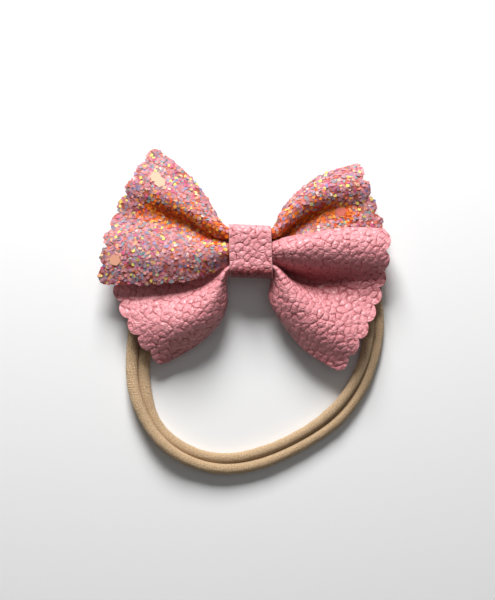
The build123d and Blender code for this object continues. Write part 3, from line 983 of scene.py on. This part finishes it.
def knitted_band(name, stations):
    """The whole loop, gathered where the strap holds it."""
    outline = band_outline()
    places = np.linspace(0, 1, stations, endpoint=False)
    line = curve(BAND_ROUTE, places)
    tangent = np.roll(line, -1, axis=0) - np.roll(line, 1, axis=0)
    tangent /= np.linalg.norm(tangent, axis=1, keepdims=True)
    turns = np.radians(np.interp(places, *np.array(BAND_TURNS).T))
    window = 2 * TURN_SMOOTHING + 1
    turns = np.concatenate([turns[-TURN_SMOOTHING:], turns, turns[:TURN_SMOOTHING]])
    turns = np.convolve(turns, np.ones(window) / window, "valid")
    around = len(outline)
    points = np.zeros((stations, around, 3))
    for s in range(stations):
        out = Vector(tangent[s]).cross(Vector((0, 0, 1))).normalized()
        up = out.cross(Vector(tangent[s]))
        gather = 0
        if line[s, 1] > GATHER_LOWEST_Y:
            gather = 1 / (1 + math.exp((abs(line[s, 0]) - GATHER_START) / GATHER_SOFTNESS))
        fuller = FULLER * math.exp(-(((places[s] - FULLER_PLACE) / FULLER_SPREAD) ** 2))
        wide = 1 - gather * GATHER_NARROW + fuller
        tall = 1 + gather * GATHER_TALL
        pucker = sum((high * noise.noise(Vector(line[s]) / size) for high, size in PUCKERS), start=1)
        cos, sin = math.cos(turns[s]), math.sin(turns[s])
        turned = []
        for a, b in outline:
            a, b = a * wide * pucker, b * tall * pucker
            turned.append((a * cos + b * sin, -a * sin + b * cos))
        lowest = min(b for _, b in turned)
        lift = max(0.0, band_low[2] - (line[s, 2] + lowest)) if gather < 0.5 else 0
        for k, (a, b) in enumerate(turned):
            points[s, k] = Vector(line[s]) + out * a + up * (b + lift)
    faces = []
    for s in range(stations):
        for k in range(around):
            here, ahead = s * around, (s + 1) % stations * around
            beside = (k + 1) % around
            faces.append((here + k, here + beside, ahead + beside, ahead + k))
    piece = mesh_piece(name, points.reshape(-1, 3), faces, [knit])
    uv = piece.data.uv_layers.new(name="sheet")
    length = line_length(np.vstack([line, line[:1]]))
    girth = np.linalg.norm(np.diff(np.vstack([outline, outline[:1]]), axis=0), axis=1)
    girth = np.concatenate([[0], np.cumsum(girth)])
    for polygon in piece.data.polygons:
        s, k = divmod(polygon.index, around)
        for corner, (ds, dk) in zip(polygon.loop_indices, ((0, 0), (0, 1), (1, 1), (1, 0))):
            uv.data[corner].uv = ((s + ds) / stations * length, girth[k + dk])
    select_only(piece)
    bpy.ops.object.shade_smooth()
    piece.data.flip_normals()
    return piece, length, girth[-1] / 2


band, band_length, band_strip = knitted_band("knit_headband", BAND_STATIONS)

# ------------------------------------------------------------------ bodies, slots and soft facts
for piece in (glitter_sheet, flakes_left, flakes_right, leather_sheet, strap):
    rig.ride(piece, "bow")
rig.replaces(glitter_sheet, "glitter_layer")
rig.replaces(leather_sheet, "leather_layer")
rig.replaces(strap, "centre_strap")
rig.replaces(band, "headband_near", "headband_far")
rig.slot(glitter_sheet, "glitter")
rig.slot(flakes_left, "glitter")
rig.slot(flakes_right, "glitter")
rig.slot(leather_sheet, "leather")
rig.slot(strap, "leather")
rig.slot(band, "nylon")
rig.blend(band, "headband", "band_far", (0, -0.014, 0), (0, -0.078, 0))
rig.sheet(glitter_sheet, held="gathered", **cut_size(glitter_grid))
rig.sheet(leather_sheet, held="gathered", **cut_size(leather_grid))
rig.sheet(strap, flat=(strap_length * MM, 0.0164), held="folded")
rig.sheet(band, flat=(band_length * MM, band_strip * MM), held="gathered")

for name, material in (
    ("glitter_binding_thread", thread_finish), ("leather_binding_thread", thread_finish),
    ("layer_glue", glue_finish), ("strap_glue", glue_finish), ("seam_glue", glue_finish),
):
    piece = bpy.data.objects[name]
    for slot in piece.material_slots:
        slot.material = material

# ------------------------------------------------------------------ floor, light and camera
bpy.ops.object.select_all(action="DESELECT")
bpy.ops.mesh.primitive_plane_add(size=4, location=(0, 0, 0))
floor = bpy.context.active_object
floor.name = "floor"
paper = Finish("white_paper", Base_Color=(0.92, 0.92, 0.92, 1), Roughness=0.9)
floor.data.materials.append(paper.material)
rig.stage(floor)

world = bpy.data.worlds.new("studio")
bpy.context.scene.world = world
world.use_nodes = True
world.node_tree.nodes["Background"].inputs["Color"].default_value = (1, 1, 1, 1)
world.node_tree.nodes["Background"].inputs["Strength"].default_value = 0.06


LIGHT_AIM = (0, -0.02, 0)


def area_light(name, place, size, power):
    """A square soft white light that faces the bow."""
    data = bpy.data.lights.new(name, "AREA")
    data.size = size
    data.energy = power
    lamp = bpy.data.objects.new(name, data)
    bpy.context.scene.collection.objects.link(lamp)
    lamp.location = place
    lamp.rotation_euler = (Vector(LIGHT_AIM) - Vector(place)).to_track_quat("-Z", "Y").to_euler()


area_light("window", (-0.08, 0.66, 0.44), 0.34, 11.2)
area_light("overhead", (0.1, 0.1, 0.9), 0.8, 0.8)
bpy.context.scene.view_settings.view_transform = "Standard"

camera_data = bpy.data.cameras.new("camera")
camera = bpy.data.objects.new("camera", camera_data)
bpy.context.scene.collection.objects.link(camera)
bpy.context.scene.camera = camera
PICTURE_HEIGHT = 0.234
PICTURE_CENTRE = (-0.0012, -0.0189, 0.008)
camera_data.lens = 110
distance = camera_data.lens / camera_data.sensor_width * PICTURE_HEIGHT
camera.location = (*PICTURE_CENTRE[:2], PICTURE_CENTRE[2] + distance)

with open("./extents.json", "w") as out:
    json.dump({"cad": [list(corner) for corner in cad_box], "visual": [list(corner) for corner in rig.bounds()]}, out)
